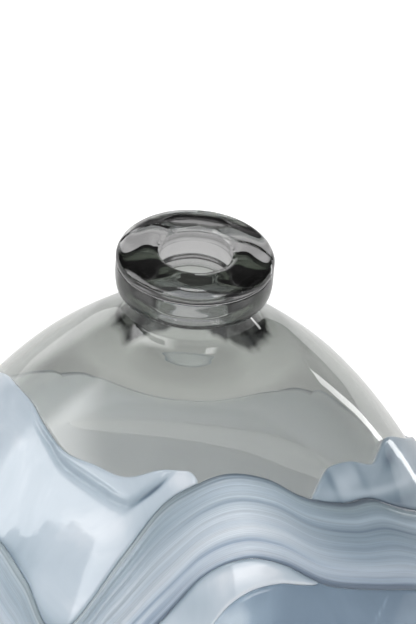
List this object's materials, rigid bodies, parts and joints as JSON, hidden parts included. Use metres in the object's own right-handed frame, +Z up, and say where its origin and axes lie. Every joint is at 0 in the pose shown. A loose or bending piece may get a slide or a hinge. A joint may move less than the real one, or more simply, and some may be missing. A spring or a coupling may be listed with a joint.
{
  "type": "bottle vase",
  "caption": "Mouth-blown bottle vase: smoke glass body with a thick two-part lip, a wavy combed ribbon, opal lobes and a blue-grey coat.",
  "frame": {"origin": "centre of the foot ring, on the surface the vase stands on", "axes": "+Z up along the body's axis, -Y towards the front, where the ribbon's highest wave and the neck's slight lean face"},
  "size_m": [0.243, 0.243, 0.2654],
  "materials": {
    "smoke_glass": "clear smoke-grey blown glass, fire polished",
    "lip_glass": "thick smoke-grey glass, fire polished",
    "opal_glass": "milky opal glass, glossy",
    "streaked_glass": "white and blue-grey glass combed into fine streaks, glossy",
    "blue_grey_glass": "cloudy blue-grey glass, glossy"
  },
  "bodies": {
    "root": {"smoke_bubble": "smoke_glass", "lip_band": "lip_glass", "lip_roll": "lip_glass", "combed_ribbon": "streaked_glass", "opal_lobe_left": "opal_glass", "opal_lobe_right": "opal_glass", "opal_lobe_back": "opal_glass", "opal_crescent_front": "opal_glass", "opal_crescent_back": "opal_glass", "blue_coat": "blue_grey_glass"}
  },
  "joints": []
}
